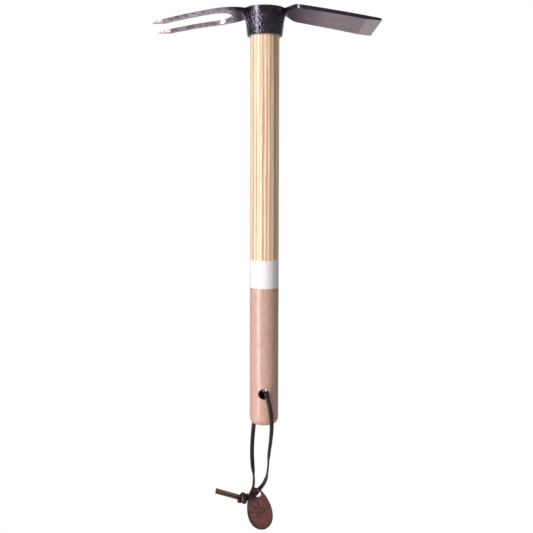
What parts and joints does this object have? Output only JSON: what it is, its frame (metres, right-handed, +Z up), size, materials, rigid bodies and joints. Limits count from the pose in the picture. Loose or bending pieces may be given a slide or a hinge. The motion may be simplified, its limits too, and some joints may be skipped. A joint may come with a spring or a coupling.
{
  "type": "grub hoe",
  "caption": "Short hand hoe: forged head with a broad blade and a forked side on an ash handle, with a knotted leather lace and tag at the butt.",
  "frame": {"origin": "on the handle's axis, in the plane of the eye's lower rim, where the tool hangs in a rack", "axes": "+Z up the handle to its top end, +X towards the blade, -X towards the fork, -Y to the front"},
  "size_m": [0.2078, 0.0722, 0.5145],
  "materials": {
    "lacquered_steel": "gloss",
    "ash_wood": "satin",
    "wedge_wood": "matte",
    "wedge_steel": "satin",
    "lace_leather": "satin",
    "tag_leather": "satin"
  },
  "bodies": {
    "tool": {"head": "lacquered_steel", "handle": "ash_wood", "wood_wedge": "wedge_wood", "steel_wedge": "wedge_steel"},
    "lace": {"lace_loop": "lace_leather", "lace_knot": "lace_leather", "lace_tails": "lace_leather"},
    "tag": {"tag": "tag_leather"}
  },
  "joints": [
    {"name": "lace_swing", "type": "hinge", "parent": "tool", "child": "lace", "pos_m": [0, 0, -0.3425], "axis": [0, 1, 0], "range_deg": [-90, 90]},
    {"name": "tag_swing", "type": "hinge", "parent": "lace", "child": "tag", "pos_m": [-0.0062, 0.0026, -0.4515], "axis": [0, 1, 0], "range_deg": [-70, 70]}
  ]
}
